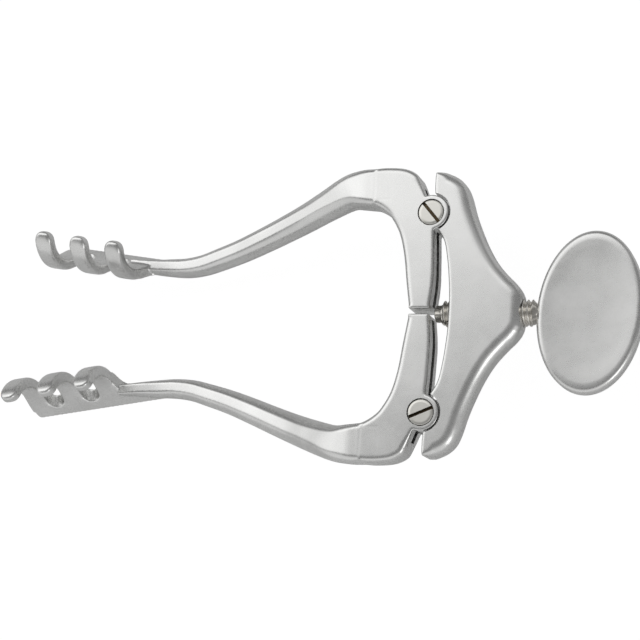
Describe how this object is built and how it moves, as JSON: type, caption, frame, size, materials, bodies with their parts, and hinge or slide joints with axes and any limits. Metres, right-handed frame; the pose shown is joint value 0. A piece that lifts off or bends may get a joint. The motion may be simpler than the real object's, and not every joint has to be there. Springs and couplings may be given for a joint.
{
  "type": "self retaining retractor",
  "caption": "Surgical retractor: hinged arms with blunt hooked prongs, spread and held by a thumbscrew through a triangular frame.",
  "frame": {"origin": "point on the frame's flat back face under the screw axis, 8 mm from the hinge line", "axes": "+X from the prongs to the oval handle along the screw, +Y to the upper arm, +Z away from the back face"},
  "size_m": [0.1026, 0.0456, 0.0141],
  "materials": {
    "satin_steel": "satin",
    "bright_steel": "turned",
    "screw_steel": "polished"
  },
  "bodies": {
    "frame": {"hinge_frame": "satin_steel"},
    "upper_arm_body": {"upper_arm": "satin_steel", "upper_pivot_screw": "screw_steel"},
    "lower_arm_body": {"lower_arm": "satin_steel", "lower_pivot_screw": "screw_steel"},
    "spindle_body": {"spindle": "bright_steel"},
    "handle_body": {"oval_handle": "satin_steel"}
  },
  "joints": [
    {"name": "screw_feed", "type": "slide", "parent": "frame", "child": "spindle_body", "axis": [1, 0, 0], "range_m": [-0.0016, 0.0018]},
    {"name": "handle_turn", "type": "hinge", "parent": "spindle_body", "child": "handle_body", "pos_m": [0, 0, 0.0025], "axis": [1, 0, 0], "range_deg": [-825, 930]},
    {"name": "upper_arm_swing", "type": "hinge", "parent": "frame", "child": "upper_arm_body", "pos_m": [-0.008, 0.01525, 0.0025], "axis": [0, 0, 1], "range_deg": [-6.5, 7.3]},
    {"name": "lower_arm_swing", "type": "hinge", "parent": "frame", "child": "lower_arm_body", "pos_m": [-0.008, -0.01525, 0.0025], "axis": [0, 0, 1], "range_deg": [-7.3, 6.5]}
  ],
  "couplings": [
    {"joint": "handle_turn", "follows": "screw_feed", "rad_per_m": 8976},
    {"joint": "upper_arm_swing", "follows": "screw_feed", "rad_per_m": 69.444},
    {"joint": "lower_arm_swing", "follows": "screw_feed", "rad_per_m": -69.444}
  ]
}
